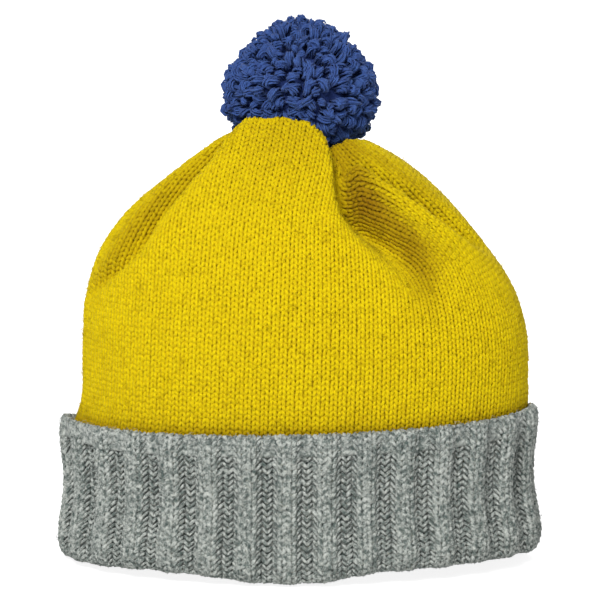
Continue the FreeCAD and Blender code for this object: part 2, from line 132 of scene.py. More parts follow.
# ---- Rib band -------------------------------------------------------------------------------
# Grey marl wool knitted in 2x2 rib, 120 stitches round, and folded up on itself: an inner layer
# against the head, a rounded fold that the hat stands on, and a turn-up as tall as the inner layer.
BAND_HALF_WIDTH, BAND_HALF_DEPTH = 0.1003, 0.0583     # of the oval where the inner layer and the turn-up meet
BAND_WALES, BAND_COURSE = 120, 2.65                   # stitches round, and the height of each in mm
RIB_RELIEF = 1.7                                      # mm
BAND_WAIST, WAIST_Z, WAIST_SPREAD = 1.3, 36, 17       # mm that the band draws in, at which height, how far up
TURN_UP_SLANT, TURN_UP_DROP = 0.035, 0.10             # the turn-up is folded higher at +X, lower at the back
TURN_UP_TUCK = 0.38                                   # and lies closer at -X, by this share
BAND_PATH = np.array([                                # mm out from the oval, mm up, share of the relief
    (-3.4, 54.8, 0.0), (-3.4, 50.0, 0.3), (-3.4, 42.0, 0.6), (-3.4, 26.0, 0.6), (-3.3, 10.0, 0.5),
    (-2.4, 3.4, 0.3), (-0.6, 1.9, 0.2), (2.0, 1.5, 0.2), (4.4, 2.4, 0.35), (6.1, 5.2, 0.6),
    (6.8, 11.0, 0.9), (5.9, 20.0, 1.0), (4.5, 31.0, 1.0), (4.0, 43.0, 1.0), (4.6, 54.0, 1.0),
    (5.3, 61.0, 0.8), (5.2, 65.6, 0.5), (3.9, 67.7, 0.3), (2.5, 67.0, 0.1), (1.9, 64.0, 0.0),
    (1.6, 58.0, 0.0),
])
INNER_SHARE = 0.33                                    # the inner layer's part of the path
# The fold lies on the table at the middle of the front only: across the front, how many mm it lifts.
FOLD_LIFT = np.array([(-1, 1.0), (-0.65, 3.5), (-0.42, 3.0), (-0.18, 0.5), (0, 0),
                      (0.14, 1.0), (0.33, 4.4), (0.6, 4.8), (0.8, 5.0), (1, 4.2)])
LIFT_Z = 32                                           # mm up, where that lift has worn off
# A leg of a stitch is bent through points (stitches across, courses along, mm out, share of its thickness).
# A purl stitch shows the bow of its head between the feet of the next one.
KNIT_LEG = (0.04, -0.45, -1.5, 0.5), (0.17, 0.12, -0.35, 1.0), (0.37, 0.82, -0.55, 1.0), (0.45, 1.3, -1.5, 0.5)
PURL_BOW = (0.02, 1.02, -1.5, 0.6), (0.16, 0.72, -0.35, 1.0), (0.40, 0.18, -0.4, 1.0), (0.52, -0.2, -1.5, 0.6)
KNIT_YARN, PURL_YARN = 0.00112, 0.00078               # radius
BACKING, BACKING_INSIDE = 0.0016, 0.0021              # depth of the cloth behind the stitches, under the face
RIB_BAND = "hat", "rib_band", "grey_marl_wool"        # the body it rides on, its CAD node and its slot
FIBRE, FIBRE_LENGTH, BAND_FIBRES = 0.00009, 3.2, 3200
FIBRE_TAPER = np.array([1, 1, 0.5])


def ease(x):
    """0 below 0, 1 above 1, and 3x^2 - 2x^3 between."""
    x = np.clip(x, 0, 1)
    return x * x * (3 - 2 * x)


def unit(vectors):
    """Vectors divided by their lengths."""
    return vectors / (np.linalg.norm(vectors, axis=-1, keepdims=True) + 1e-12)


def smooth_run(rows, share):
    """Values along a row of stations, share 0 at the first, 1 at the last: a Catmull-Rom curve through them."""
    at = np.clip(share, 0, 1) * (len(rows) - 1)
    i = np.minimum(at.astype(int), len(rows) - 2)
    t = (at - i)[..., None]
    a, b, c, d = (rows[np.clip(i + k, 0, len(rows) - 1)] for k in (-1, 0, 1, 2))
    return b + 0.5 * t * (c - a + t * (2 * a - 5 * b + 4 * c - d + t * (3 * (b - c) + d - a)))


def length_along(points):
    """The length of a run of points up to each of them."""
    return np.concatenate([[0], np.cumsum(np.linalg.norm(np.diff(points, axis=0), axis=1))])


def even_shares(points, count):
    """Shares along a fine run of points, for count + 1 stations an equal length apart."""
    length = length_along(points)
    return np.interp(np.linspace(0, length[-1], count + 1), length, np.linspace(0, 1, len(points)))


def band_turn(across):
    """Sine and cosine of the angle at a place in stitches round the band."""
    angle = np.interp(across % BAND_WALES, np.arange(BAND_WALES + 1), BAND_ANGLES)
    return np.sin(angle), np.cos(angle)


def round_band(across, out, z):
    """Points, and which way is out, at a place in stitches round the band's oval, mm out from it and mm up.
    The waist draws it in by exp of minus the square of the height from WAIST_Z in WAIST_SPREADs."""
    across, out, z = np.broadcast_arrays(across, out, z)
    s, c = band_turn(across)
    normal = unit(np.stack([s / BAND_HALF_WIDTH, c / BAND_HALF_DEPTH, 0 * s], -1))
    out = (out - BAND_WAIST * np.exp(-((z - WAIST_Z) / WAIST_SPREAD) ** 2)) / 1000
    oval = np.stack([BAND_HALF_WIDTH * s, BAND_HALF_DEPTH * c, z / 1000], -1)
    return oval + normal * out[..., None], normal


def turn_up_height(s, c):
    """The height of the turn-up as a share of its path's: a slant by sin a, less a drop round the back."""
    return 1 + TURN_UP_SLANT * s - TURN_UP_DROP * ease((c + 0.15) / 0.7)


def band_cloth(across, share):
    """The band's face at (stitches across, share of its path): the path's distance out from the oval and its
    height, and ribs, whose flat tops and floors are tanh of 2 cos over 4 stitches."""
    out, z, relief = np.moveaxis(smooth_run(BAND_PATH, share), -1, 0)
    s, c = band_turn(across)
    rib = np.tanh(2 * np.cos(np.pi * (across - 1) / 2)) / np.tanh(2)
    facing = np.where(share < INNER_SHARE, -1, 1)       # on the inside a rib stands towards the head
    out = out * np.where(out > 0, 1 - TURN_UP_TUCK * ease((-s - 0.6) / 0.4), 1)
    out = out + RIB_RELIEF * relief * rib * facing
    rise = 1 + ease(out - 0.5) * (turn_up_height(s, c) - 1)
    lift = np.interp(s, *FOLD_LIFT.T) * ease((0.15 - c) / 0.5) * (1 - ease(z / LIFT_Z))
    points = round_band(across, out, z)[0]
    points[..., 2] = (z * rise + lift) / 1000
    return points


class Cloth:
    """A cloth that closes round: a grid of points [round, up, 3], with the grid steps to a stitch (round, up)
    and the directions out of it, up x round."""

    def __init__(self, points, steps=(1, 1)):
        around = np.roll(points, -1, axis=0) - np.roll(points, 1, axis=0)
        self.points, self.steps = points, steps
        self.out = unit(np.cross(np.gradient(points, axis=1), around))

    def laid(self, across, along, out):
        """Points on the cloth, and which way is out there: its grid at (across, along) stitches, blended
        between the four nearest points, plus out along the normal."""
        i, j = across * self.steps[0], np.clip(along * self.steps[1], 0, self.points.shape[1] - 1.001)
        i0, j0 = np.floor(i).astype(int), np.floor(j).astype(int)
        s, t = (i - i0)[..., None], (j - j0)[..., None]
        i0, i1 = i0 % len(self.points), (i0 + 1) % len(self.points)

        def blend(grid):
            return ((grid[i0, j0] * (1 - s) + grid[i1, j0] * s) * (1 - t)
                    + (grid[i0, j0 + 1] * (1 - s) + grid[i1, j0 + 1] * s) * t)

        normal = blend(self.out)
        return blend(self.points) + normal * out[..., None], normal

    def rows_behind(self, depth):
        """The cloth's points [up, round, 3], moved in from its face."""
        return (self.points - self.out * depth).swapaxes(0, 1)


def square_to(middles, outward):
    """The two directions square to each path [length, ring, 3]: across the cloth, and out of it."""
    run = np.gradient(middles, axis=1)
    side = unit(np.cross(run, outward))
    return side, unit(np.cross(side, run))


def yarn_lengths(middles, outward, radius, sides=5, flat=0.85):
    """Short lengths of yarn side by side, as points [length, ring, side, 3]: round each middle an ellipse
    square to the run, cos across the cloth and sin times flat out of it."""
    side, out = square_to(middles, outward)
    turn = 2 * np.pi * np.arange(sides) / sides
    ring = np.cos(turn)[:, None] * side[:, :, None] + flat * np.sin(turn)[:, None] * out[:, :, None]
    return middles[:, :, None] + ring * radius[:, :, None, None]


def piece(name, points, faces, finish, body, node, slot, maps=()):
    """One named mesh of the hat in its finish, riding on its body in place of its CAD node. maps are UV
    maps as (name, corner values)."""
    mesh = bpy.data.meshes.new(name)
    mesh.from_pydata(points.reshape(-1, 3).tolist(), [], faces)
    mesh.shade_smooth()
    mesh.materials.append(finish)
    for title, corners in maps:
        layer = mesh.uv_layers.new(name=title)
        layer.uv.foreach_set("vector", np.ascontiguousarray(corners, dtype=np.float32).ravel())
    made = placed(name, mesh)
    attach(made, body)
    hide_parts(node)


def yarn_piece(name, tubes, finish, body, node, slot, shade=None, parts=1):
    """A piece of many separate lengths of yarn [length, ring, side, 3], each closed by a cap at both ends, or
    so many numbered pieces. Its yarn map runs once round and in centimetres along, from a different start on
    each; its baking map gives each length one cell. A painted shade for each length goes into its fold map."""
    if parts > 1:
        shades = [None] * parts if shade is None else np.array_split(shade, parts)
        for number, (some, shaded) in enumerate(zip(np.array_split(tubes, parts), shades), 1):
            yarn_piece(f"{name}_{number}", some, finish, body, node, slot, shaded)
        return
    count, rings, sides = tubes.shape[:3]
    grid = np.arange(count * rings * sides).reshape(count, rings, sides)
    beside = np.roll(grid, -1, axis=2)
    quads = np.stack([grid[:, :-1], grid[:, 1:], beside[:, 1:], beside[:, :-1]], -1).reshape(-1, 4)
    faces = quads.tolist() + grid[:, 0].tolist() + grid[:, -1, ::-1].tolist()
    up, around = np.linspace(0, 1, rings), np.linspace(0, 1, sides + 1)
    whole = (count, rings - 1, sides, 4)
    u = np.stack([around[:-1], around[:-1], around[1:], around[1:]], -1)[None, None]
    v = np.stack([up[:-1], up[1:], up[1:], up[:-1]], -1)[None, :, None]
    u, v = np.broadcast_to(u, whole).reshape(count, -1), np.broadcast_to(v, whole).reshape(count, -1)
    length = np.linalg.norm(np.diff(tubes.mean(axis=2), axis=1), axis=-1).sum(axis=1, keepdims=True) * 100
    begin = (np.arange(count) * 0.618034 % 1)[:, None] * 40
    cap, end = around[:-1], length + begin
    yarn = [np.stack(pair, -1).reshape(-1, 2) for pair in (
        (u + begin, v * length + begin), (cap + begin, 0 * cap + begin), (cap[::-1] + begin, 0 * cap + end))]
    cells = int(np.ceil(np.sqrt(count)))
    cell = np.stack([np.arange(count) % cells, np.arange(count) // cells], -1)[:, None] + 0.06
    disc = np.stack([np.cos(2 * np.pi * cap), np.sin(2 * np.pi * cap)], -1) * 0.035
    bake = [((flat + cell) / cells).reshape(-1, 2) for flat in (
        np.stack([u, v * 0.9], -1) * 0.88, disc + (0.2, 0.84), disc[::-1] + (0.5, 0.84))]
    maps = [("yarn", np.concatenate(yarn)), ("OFBake", np.concatenate(bake))]
    if shade is not None:
        fold = [np.repeat(shade, (rings - 1) * sides * 4), np.tile(np.repeat(shade, sides), 2)]
        maps.append(("fold", np.repeat(np.concatenate(fold), 2)))
    piece(name, tubes, faces, finish, body, node, slot, maps)


def ring_shell(name, rows, finish, body, node, slot, across, along, shade=None):
    """A closed shell over rings of points [row, round, 3] that close both ways, the rows running up the
    outside and down the inside. Its yarn map is (across, along) stitches, and painted shades [row, round] go
    into its fold map."""
    count, around = rows.shape[:2]
    grid = np.arange(count * around).reshape(count, around)
    up, on = np.roll(grid, -1, axis=0), np.roll(grid, -1, axis=1)
    quads = np.stack([grid, up, np.roll(up, -1, axis=1), on], -1).reshape(-1, 4)
    j, i = np.meshgrid(np.arange(count), np.arange(around), indexing="ij")
    u = np.stack([i, i, i + 1, i + 1], -1) / around
    v = along[np.stack([j, j + 1, j + 1, j], -1) % count]
    wrap = np.abs(v - v[..., :1]).max(axis=-1) > 10      # where the rows close, the map doesn't run back
    v[wrap] = v[wrap][:, :1]
    spread = np.stack([u, np.stack([j, j + 1, j + 1, j], -1) / count], -1).reshape(-1, 2) * 0.998 + 0.001
    maps = [("yarn", np.stack([u * across, v], -1).reshape(-1, 2)), ("OFBake", spread)]
    if shade is not None:
        maps.append(("fold", np.repeat(shade.ravel()[quads.ravel()], 2)))
    piece(name, rows, quads.tolist(), finish, body, node, slot, maps)


def there_and_back(up, down=None):
    """Values for a shell's rows, which run up the outside and down the inside."""
    return np.concatenate([up, (up if down is None else down)[::-1]])


def srgb(red, green, blue):
    """A colour from its 8 bit screen values, as the linear numbers that a shader takes."""
    c = np.array([red, green, blue]) / 255
    return tuple(np.where(c <= 0.04045, c / 12.92, ((c + 0.055) / 1.055) ** 2.4)) + (1.0,)


def wool(name, light, dark, fleck, fuzz, mottle=0.15, paints_shade=False, grain_size=9.0):
    """Spun wool: fibres streak along the yarn map between a light and a dark shade, broader clouds of the
    dark one lie over the piece, and fleck is how sharply the two part, as in marl. Fibres and ply twist stand
    up as bumps, and a sheen is their halo. Wool that paints shade takes it from its fold map: painted darker
    and warmer where the folds and the turn-up's edge would shade it."""
    material = bpy.data.materials.new(name)
    material.use_nodes = True
    tree = material.node_tree
    yarn, place = output_of(tree, "UVMap", uv_map="yarn"), output_of(tree, "TexCoord", out="Object")
    along = output_of(tree, "Mapping", {"Vector": yarn, "Scale": (7.0, grain_size, 1.0)})
    fibres = output_of(tree, "TexNoise", {"Vector": along, "Scale": 2.2, "Detail": 4.0, "Roughness": 0.65},
                       noise_dimensions="2D")
    grain = output_of(tree, "TexNoise", {"Vector": place, "Scale": 520.0, "Detail": 3.0, "Roughness": 0.6})
    cloud = output_of(tree, "TexNoise", {"Vector": place, "Scale": 55.0, "Detail": 2.0})
    both = math(tree, "MULTIPLY_ADD", cloud, mottle, math(tree, "ADD", fibres, grain))
    middle = 1 + mottle / 2
    limits = {"From Min": middle - fleck, "From Max": middle + fleck}
    part = output_of(tree, "MapRange", {"Value": both, **limits}, interpolation_type="SMOOTHSTEP")
    shade = output_of(tree, "Mix", {"Factor": part, "A": dark, "B": light}, "Result", data_type="RGBA")
    if paints_shade:
        # Painted shade: the fold map multiplies the colour towards dark red, darker and warmer where shade
        # falls.
        deep = output_of(tree, "SeparateXYZ", {"Vector": output_of(tree, "UVMap", uv_map="fold")})
        shade = output_of(tree, "Mix", {"Factor": deep, "A": shade, "B": (0.15, 0.0, 0.0, 1.0)}, "Result",
                          data_type="RGBA", blend_type="MULTIPLY")
    ply = output_of(tree, "TexWave", {"Vector": yarn, "Scale": 0.62, "Distortion": 1.2, "Detail": 1.0}, "Fac",
                    wave_type="BANDS", bands_direction="DIAGONAL")
    height = math(tree, "MULTIPLY_ADD", grain, 0.7, math(tree, "MULTIPLY_ADD", ply, 0.55, fibres))
    bump = output_of(tree, "Bump", {"Height": height, "Strength": 0.55, "Distance": 0.0005})
    wire(tree.nodes["Principled BSDF"], {
        "Base Color": shade, "Normal": bump, "Roughness": 0.92, "Specular IOR Level": 0.15,
        "Sheen Weight": fuzz, "Sheen Roughness": 0.55,
        "Sheen Tint": tuple(0.5 + 0.5 * c for c in light[:3]) + (1.0,),
    })
    return material


def uneven(shape, size):
    """Small differences between one stitch and the next."""
    return chance.normal(0, size, shape)


def every_stitch(wales, first, last):
    """The wale and the course of each stitch, over so many wales and from one course up to another."""
    return (a.ravel() for a in np.meshgrid(np.arange(wales), np.arange(first, last), indexing="ij"))


def leg_tubes(cloth, wales, courses, bend, pitch, radius):
    """The two legs of each knit stitch: each a bent length of yarn through four points (across, along, out,
    thickness), the second the mirror image of the first across the wale's middle."""
    across, along, out, thick = np.array(bend).T
    each = (len(wales), 1)
    tubes = []
    for side in (-1, 1):
        u = wales[:, None] + 0.5 + side * across + uneven(each, 0.02)
        v = courses[:, None] + along + uneven(each, 0.05)
        middles, normal = cloth.laid(u, v, out / 1000 + uneven(each, 0.00008))
        width = radius * thick * pitch[:, None] * (1 + uneven(each, 0.05))
        tubes.append(yarn_lengths(middles, normal, width))
    return np.concatenate(tubes)


def loose_fibres(cloth, wales, courses):
    """Single fibres that have come loose: from each base (wales, courses) one arches away over the cloth, any
    way, its tip up to FIBRE_LENGTH mm along and 1.5 mm off it."""
    t, each, mm_per_stitch = np.array([0, 0.45, 1.0]), (len(wales), 1), 2.5
    heading = chance.uniform(0, 2 * np.pi, each)
    reach = FIBRE_LENGTH * chance.uniform(0.5, 1, each) * (t + uneven((len(wales), 3), 0.08)) / mm_per_stitch
    out = -0.3 + chance.uniform(0.5, 2.0, each) * np.array([0, 1, 0.9]) + uneven((len(wales), 3), 0.1)
    u, v = wales[:, None] + reach * np.cos(heading), courses[:, None] + reach * np.sin(heading)
    middles, normal = cloth.laid(u, v, out / 1000)
    return yarn_lengths(middles, normal, FIBRE * FIBRE_TAPER + 0 * reach, 3, 1.0)


GREY_WOOL = wool("grey_marl_wool", srgb(192, 196, 190), srgb(72, 86, 82), 0.16, 0.3, 0.1, grain_size=22.0)
fine_turn = np.linspace(0, 2 * np.pi, 2881)
oval = np.stack([BAND_HALF_WIDTH * np.sin(fine_turn), BAND_HALF_DEPTH * np.cos(fine_turn)], -1)
BAND_ANGLES = even_shares(oval, BAND_WALES) * 2 * np.pi
fine_path = smooth_run(BAND_PATH, np.linspace(0, 1, 2001))[:, :2]
band_courses = int(round(length_along(fine_path)[-1] / BAND_COURSE))
band_shares = even_shares(fine_path, band_courses * 2)
band = Cloth(band_cloth(*np.meshgrid(np.arange(BAND_WALES * 2) / 2, band_shares, indexing="ij")), (2, 2))
chance = np.random.default_rng(4)

wale, course = every_stitch(BAND_WALES, 1, band_courses - 1)
knit = wale % 4 < 2
tubes = leg_tubes(band, wale[knit], course[knit], KNIT_LEG, np.ones(knit.sum()), KNIT_YARN)
yarn_piece("band_knit", tubes, GREY_WOOL, *RIB_BAND, parts=2)
tubes = leg_tubes(band, wale[~knit], course[~knit], PURL_BOW, 1 + uneven((~knit).sum(), 0.15), PURL_YARN)
yarn_piece("band_purl", tubes, GREY_WOOL, *RIB_BAND, parts=2)

# The loose fibres stand on the turn-up, above the fold.
bases = chance.uniform((0, 0.46 * band_courses), (BAND_WALES, 0.97 * band_courses), (BAND_FIBRES, 2)).T
yarn_piece("band_fuzz", loose_fibres(band, *bases), GREY_WOOL, *RIB_BAND)

rows = there_and_back(band.rows_behind(BACKING), band.rows_behind(BACKING_INSIDE))
along = there_and_back(np.arange(len(band_shares))) / 2
ring_shell("band_cloth", rows, GREY_WOOL, *RIB_BAND, BAND_WALES, along)


# ---- Crown ----------------------------------------------------------------------------------
# Yellow wool in stocking stitch, 136 stitches round: upright sides, then a dome that the drawstring
# at its top draws into pleats, a puckered rim and a cup that the pompom sits in. Its shape is in mm.
CROWN_Z, EQUATOR_Z = 57.0, 85.0
CROWN_HALF_WIDTH, CROWN_HALF_DEPTH = 98.9, 58.6
BASE_OUT, BASE_IN = 0.9, 0.8                     # how much wider and less deep its base is
RIM_CLIMB, RIM_LEAN = np.radians(68.5), 5.0
RIM_FRONT, RIM_LEFT, RIM_RIGHT, RIM_BACK = 187.5, 179.0, 184.0, 166.0
LIP_HEIGHT, LIP_LEFT, LIP_HALF_WIDTH = 12.0, 22.0, 44.0
GATHER, GATHER_RADIUS, NECK, RIM_ROLL = np.array([2.0, 15.0, 163.0]), 6.0, 9.0, 9.0
PIVOT = GATHER + (0, 0, 3.0)
POMPOM = np.array([1.3, 19.0, 203.0])
SWAY, NOD_BACK, NOD_FORWARD = 8.0, 16.0, 2.0     # degrees that the pompom moves
SEAT_RADIUS = 34.6                               # of the ball that the crown leaves free for it
SETTLED = np.array([         # height, how far the crown has settled towards +X there, how much wider it is
    (57, 0, 0), (71, 3.3, -0.7), (85, 3.6, -0.9), (100, 3.5, -0.3), (112, 2.3, 0.6), (124, 0.8, 0.9),
    (142, -2.4, 0.2), (160, -3.6, -0.7), (172, -2.9, -1.3), (182, -1.6, -1.8), (200, -1.4, -1.8),
])
CROWN_WALES, CROWN_COURSES = 136, 84             # stitches round and up
CROWN_STITCH, CROWN_COURSE = 3.7, 2.31           # the width and height of each
# Each pleat: stations up its valley as (share of the way up, degrees from the front towards +X, its
# reach towards -X and towards +X in degrees, depth).
PLEATS = (
    ((0.27, -80, 9, 6, 0), (0.32, -72, 9, 6, 3), (0.37, -63, 9, 6, 6), (0.42, -56, 9, 6, 8),
     (0.49, -52.5, 10, 6, 10), (0.56, -50, 10, 6, 11), (0.66, -46.5, 10, 6, 12), (0.78, -44, 10, 6, 12),
     (0.91, -43.5, 10, 5.5, 11), (1.05, -45, 10, 6, 7)),
    ((0.24, 35, 8, 8, 0), (0.32, 37.5, 8, 7, 2.5), (0.39, 37.5, 9, 6, 5), (0.48, 35, 10, 6, 9.5),
     (0.54, 31.5, 10, 5.5, 13.5), (0.60, 28, 8.5, 5.5, 16.5), (0.65, 25.5, 6.5, 5, 18),
     (0.72, 23.5, 5, 4.5, 17), (0.82, 24, 4.5, 4.5, 14), (0.95, 25, 4, 5, 11), (1.05, 24, 5, 7, 7)),
    ((0.42, 82, 5, 9, 0), (0.49, 72, 4.5, 9, 3), (0.56, 64.5, 4.5, 9, 6), (0.61, 60, 4.5, 9, 7.5),
     (0.65, 55.5, 4.5, 9, 8.5), (0.70, 50.5, 4, 9, 9), (0.75, 44.5, 4, 8, 10), (0.81, 37.5, 3.5, 7, 10),
     (0.89, 32, 3.5, 6, 8), (0.97, 32, 3.5, 7, 5), (1.05, 32, 4, 8, 3)),
    ((0.46, 112, 5, 10, 0), (0.66, 109, 5, 10, 6), (0.90, 106, 5, 10, 8), (1.05, 106, 5, 10, 6)),
    ((0.42, 146, 11, 6, 0), (0.62, 147, 11, 6, 7), (0.85, 148, 11, 6, 9), (1.05, 148, 11, 6, 6)),
    ((0.46, 188, 5, 10, 0), (0.70, 187, 5, 10, 6), (0.90, 186, 5, 10, 7), (1.05, 186, 5, 10, 5)),
    ((0.42, 220, 11, 6, 0), (0.65, 221, 11, 6, 7), (0.90, 222, 11, 6, 8), (1.05, 222, 11, 6, 5)),
    ((0.48, 256, 5, 9, 0), (0.70, 257, 5, 9, 6), (0.90, 258, 5, 9, 7), (1.05, 258, 5, 9, 5)),
)
HOLLOW_PLEAT, FLANK_PLEAT = PLEATS[1:3]
OVERHUNG = (-1, 1, 1, 1, -1, 1, -1, 1)           # the side of each valley that lies under the other: +1 at +X
CREST, OVERHANG = 0.6, 0.7                       # how a pleat's narrow side stands and leans, to its depth
# Shade painted into the yellow's colour, dark lines down the folds and a broad band over the top of the
# front: stations as in PLEATS, with half widths, and how much of the light is lost.
PAINTED_FOLD_SHADE = (
    ((0.27, -80, 7, 6, 0), (0.32, -77, 7, 6, 0.1), (0.40, -69, 7, 6, 0.25), (0.45, -65, 7, 5, 0.3),
     (0.60, -59, 7, 5, 0.36), (0.73, -55, 7, 5, 0.25), (0.90, -50, 7, 5, 0.2)),
    ((0.20, 34, 6, 6, 0), (0.31, 37, 6, 6, 0.22), (0.39, 41, 6, 6, 0.4), (0.46, 42, 6, 6, 0.52),
     (0.51, 41, 6, 6, 0.54), (0.56, 38, 6, 6, 0.56), (0.60, 34.5, 5, 7, 0.62), (0.66, 31, 4, 8, 0.72),
     (0.72, 29, 4, 8, 0.62), (0.80, 28.5, 4, 9, 0.5), (0.95, 30, 5, 12, 0.35)),
    ((0.50, -4, 24, 22, 0), (0.70, -4, 24, 22, 0.08), (0.88, -4, 26, 24, 0.19)),
    ((0.55, 75, 8, 8, 0), (0.64, 70, 8, 8, 0.12), (0.70, 65.5, 8, 9, 0.25), (0.80, 55, 8, 12, 0.3),
     (0.95, 42, 8, 14, 0.3)),
)
# Painted shadow above the turn-up, and a cap on all painted shade:
EDGE_SHADE, EDGE_REACH, DEEPEST_SHADE = 0.4, 3.5, 0.85      # just above the turn-up, mm up it goes, the most
CROWN_LEG = (0.09, -0.45, -1.4, 0.5), (0.19, 0.12, -0.3, 1.0), (0.33, 0.82, -0.5, 1.0), (0.41, 1.3, -1.5, 0.5)
CROWN_YARN, CROWN_FIBRES = 0.00094, 4600                    # radius in metres, number
CROWN_BACKING, CROWN_INSIDE = 0.0011, 0.0026                # depth under the face in metres
CROWN = "hat", "crown", "yellow_wool"


def turn_between(degrees, middle):
    """The signed angle from middle, the short way round."""
    return (degrees - middle + 180) % 360 - 180


def rim_height(angle):
    """Height of the rim: a mean, tilt cos a, saddle cos 2a and roll sin a, plus the front lip, exp of minus
    the fourth power of the angle from its middle."""
    side = (RIM_LEFT + RIM_RIGHT) / 2
    tilt, roll = (RIM_BACK - RIM_FRONT) / 2, (RIM_RIGHT - RIM_LEFT) / 2
    saddle = ((RIM_FRONT + RIM_BACK) / 2 - side) / 2
    lip = LIP_HEIGHT * np.exp(-(turn_between(180 - np.degrees(angle), -LIP_LEFT) / LIP_HALF_WIDTH) ** 4)
    return side + saddle + tilt * np.cos(angle) + saddle * np.cos(2 * angle) + roll * np.sin(angle) + lip


def settled(z):
    """The crown's sideways shift and widening at a height: a cubic through SETTLED's stations, as steep at
    each as the line between its neighbours."""
    up, values = SETTLED[:, 0], SETTLED[:, 1:]
    far_up, far = np.pad(up, 1, "edge"), np.pad(values, ((1, 1), (0, 0)), "edge")
    steep = (far[2:] - far[:-2]) / (far_up[2:] - far_up[:-2])[:, None]
    i = np.clip(np.searchsorted(up, z) - 1, 0, len(up) - 2)
    run = (up[i + 1] - up[i])[..., None]
    t = np.clip((z - up[i])[..., None] / run, 0, 1)
    return ((1 + 2 * t) * (1 - t) ** 2 * values[i] + t * t * (3 - 2 * t) * values[i + 1]
            + run * t * (1 - t) * ((1 - t) * steep[i] - t * steep[i + 1]))


def body_point(angle, share):
    """The unpleated crown, share -1 its base, 0 its equator, 1 its rim: ellipses round, and up the dome cos
    of the climb out and sin of it up."""
    climb, below = RIM_CLIMB * np.maximum(share, 0), np.maximum(-share, 0)
    up = np.sin(climb) / np.sin(RIM_CLIMB)
    z = EQUATOR_Z + (rim_height(angle) - EQUATOR_Z) * up - (EQUATOR_Z - CROWN_Z) * below
    aside, wider = np.moveaxis(settled(z), -1, 0)
    width = CROWN_HALF_WIDTH * np.cos(climb) + BASE_OUT * below ** 2 + wider
    depth = CROWN_HALF_DEPTH * np.cos(climb) - BASE_IN * below ** 2
    return np.stack([aside + width * np.sin(angle), RIM_LEAN * up * up + depth * np.cos(angle), z], -1)


def smooth_crown(angle, share):
    """The unpleated crown on over its rim, share 1, down a Bezier arc to the foot of its neck, share 2."""
    rim = body_point(angle, np.ones_like(share))
    onward = unit(rim - body_point(angle, np.full_like(share, 0.98))) * RIM_ROLL
    foot = GATHER + np.stack([np.sin(angle), np.cos(angle), 0 * angle], -1) * GATHER_RADIUS
    t = np.clip(share - 1, 0, 1)[..., None]
    cup = ((1 - t) ** 3 * rim + 3 * t * (1 - t) ** 2 * (rim + onward)
           + 3 * t * t * (1 - t) * (foot + (0, 0, NECK)) + t ** 3 * foot)
    return np.where((share <= 1)[..., None], body_point(angle, np.minimum(share, 1)), cup)


def tipped(points, nod, sway):
    """Points carried by the pompom as it nods by so many degrees about X and sways about Y, at the pivot."""
    n, s = np.radians(nod), np.radians(sway)
    about_x = np.array([(1, 0, 0), (0, np.cos(n), -np.sin(n)), (0, np.sin(n), np.cos(n))])
    about_y = np.array([(np.cos(s), 0, np.sin(s)), (0, 1, 0), (-np.sin(s), 0, np.cos(s))])
    return PIVOT + (points - PIVOT) @ (about_y @ about_x).T


NODS = (-NOD_BACK, (NOD_FORWARD - NOD_BACK) / 2, NOD_FORWARD)
POSES = [(nod, sway) for nod in NODS for sway in (-SWAY, 0, SWAY)]


def from_line(stations, angle, share):
    """At each point: the angle from the line up the crown through some stations, and their other values."""
    up, middle, *others = np.array(stations, float).T
    away = turn_between(180 - np.degrees(angle), np.interp(share, up, middle))
    return away, *(np.interp(share, up, other) for other in others)


def valley(stations, angle, share):
    """One pleat at each point: reaches away from its valley, how much further it reaches towards +X than
    towards -X as a share of both, and its depth, which ends before the neck."""
    away, left, right, depth = from_line(stations, angle, share)
    x, lean = away / np.where(away < 0, left, right), (right - left) / (right + left)
    return x, lean, depth * ease((1.9 - share) / 0.8)


def pleated(angle, share):
    """How deep a point sinks and how far it moves round towards +X: over the pleats, depth times
    exp(-|x|^3), x reaches from the valley, less the crest on the side that reaches less far, which also
    leans over the valley."""
    deep, sideways = 0, 0
    for stations in PLEATS:
        x, lean, depth = valley(stations, angle, share)
        crest = np.abs(lean) * np.exp(-((x * np.sign(lean) + 2.1) / 1.1) ** 2)
        deep = deep + depth * (np.exp(-np.abs(x) ** 3) - CREST * crest)
        sideways = sideways + OVERHANG * lean * depth * np.exp(-((x * np.sign(lean) + 1.2) / 0.9) ** 2)
    return deep, sideways


def crown_point(angle, share):
    """The pleated crown in millimetres: the pleats sink inwards low down and straight down at the rim, and
    then everything near it is pushed out of the ball that the pompom sweeps."""
    angle, share = np.broadcast_arrays(np.asarray(angle, float), np.asarray(share, float))
    step = 0.01
    around = smooth_crown(angle + step, share) - smooth_crown(angle - step, share)
    side = np.clip(share, -1 + step, 1 - step)
    inward = unit(np.cross(around, body_point(angle, side + step) - body_point(angle, side - step)))
    turn = ease((share - 0.5) / 0.5)[..., None]
    sink = unit(inward * (1 - turn) + np.array([0, 0, -1]) * turn)
    deep, sideways = pleated(angle, share)
    point = smooth_crown(angle, share) + sink * deep[..., None] - unit(around) * sideways[..., None]
    near = ease((share - 0.85) / 0.1)[..., None]
    for pose in POSES * 2:
        away = point - tipped(POMPOM, *pose)
        gap = np.linalg.norm(away, axis=-1, keepdims=True)
        point = point + near * away / gap * np.maximum(SEAT_RADIUS - gap, 0)
    return point


